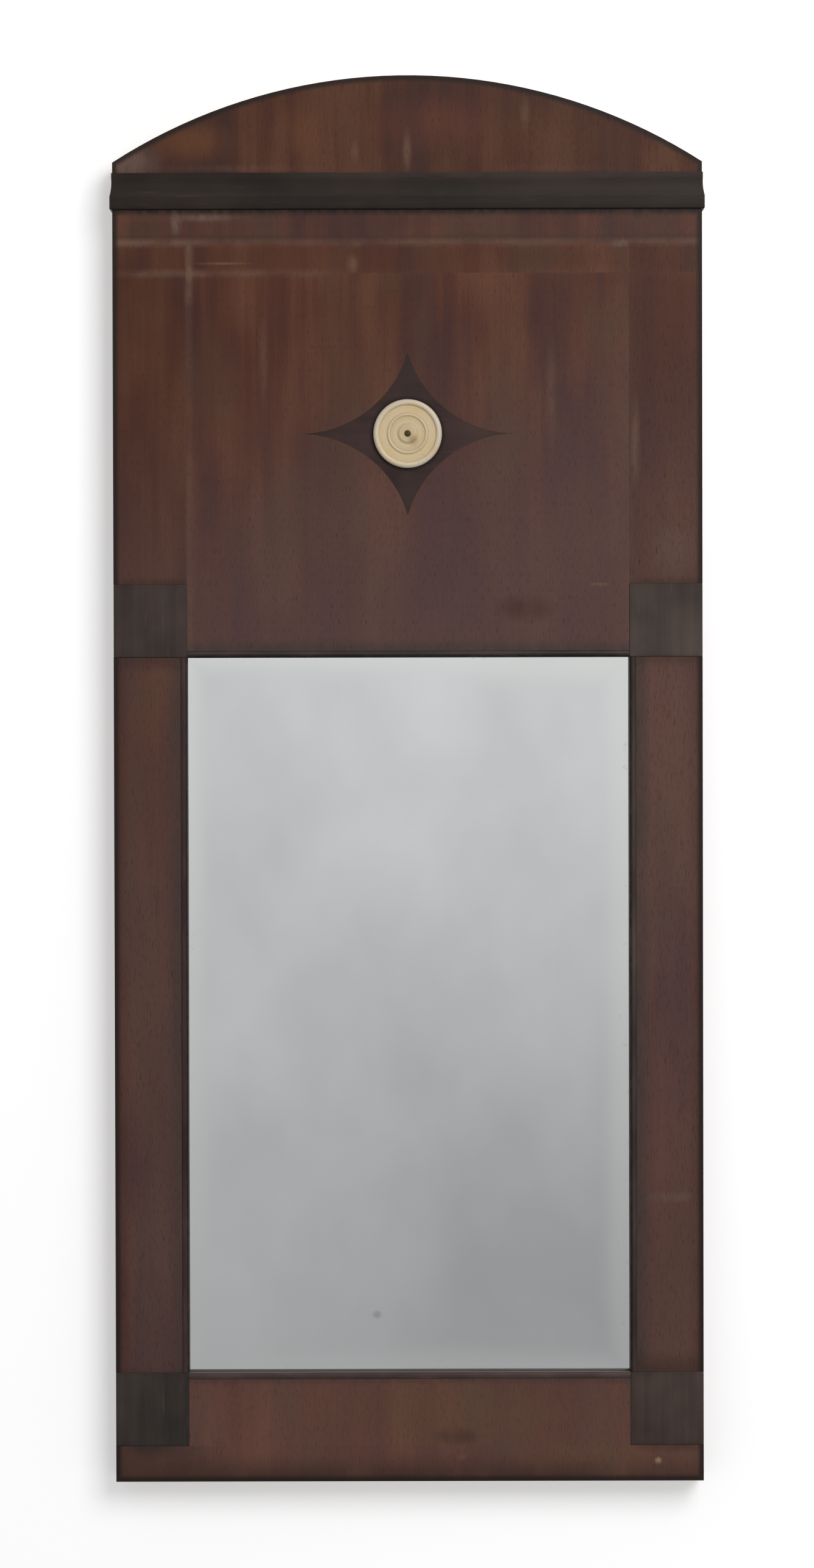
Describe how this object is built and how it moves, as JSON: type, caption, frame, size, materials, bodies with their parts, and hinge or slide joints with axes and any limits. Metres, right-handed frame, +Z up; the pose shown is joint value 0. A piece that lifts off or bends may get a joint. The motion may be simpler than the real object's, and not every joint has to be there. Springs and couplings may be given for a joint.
{
  "type": "pier mirror",
  "caption": "Tall wall mirror with an arched pediment, veneered frame, dark corner blocks, a star inlay with a turned roundel, and a hanging ring on the back.",
  "frame": {"origin": "middle of the bottom edge of the back, on the wall plane that the back lies against", "axes": "+Z up, +X to the right as seen from the front, +Y into the wall, so the front faces -Y"},
  "size_m": [0.454, 0.0323, 1.074],
  "materials": {
    "pine": "matte",
    "mahogany": "satin",
    "ebonised_wood": "satin",
    "bone": "satin",
    "mirror_plate": "polished",
    "iron": "satin"
  },
  "bodies": {
    "frame": {"left_stile": "pine", "right_stile": "pine", "bottom_rail": "pine", "cross_rail": "pine", "top_rail": "pine", "upper_panel": "pine", "crest_board": "pine", "joint_pegs": "pine", "plate_wedges": "pine", "backboard_left": "pine", "backboard_right": "pine", "pediment_veneer": "mahogany", "frieze_veneer": "mahogany", "top_band_veneer": "mahogany", "left_band_veneer": "mahogany", "right_band_veneer": "mahogany", "panel_veneer": "mahogany", "left_upper_veneer": "mahogany", "right_upper_veneer": "mahogany", "left_pilaster_veneer": "mahogany", "right_pilaster_veneer": "mahogany", "bottom_rail_veneer": "mahogany", "base_band_veneer": "mahogany", "left_side_veneer": "mahogany", "right_side_veneer": "mahogany", "arch_edge_veneer": "mahogany", "cornice_front": "ebonised_wood", "cornice_left_return": "ebonised_wood", "cornice_right_return": "ebonised_wood", "upper_left_block": "ebonised_wood", "upper_right_block": "ebonised_wood", "lower_left_block": "ebonised_wood", "lower_right_block": "ebonised_wood", "left_bead": "ebonised_wood", "right_bead": "ebonised_wood", "top_bead": "ebonised_wood", "bottom_bead": "ebonised_wood", "star_inlay": "ebonised_wood", "roundel_pin": "ebonised_wood", "bone_roundel": "bone", "mirror_plate": "mirror_plate", "crest_screws": "iron", "backboard_nails": "iron", "hanger_plate": "iron", "hanger_screws": "iron"},
    "ring": {"hanger_ring": "iron"}
  },
  "joints": [
    {"name": "ring_swing", "type": "hinge", "parent": "frame", "child": "ring", "pos_m": [0, -0.00532, 0.982], "axis": [1, 0, 0], "range_deg": [0, 180]}
  ]
}
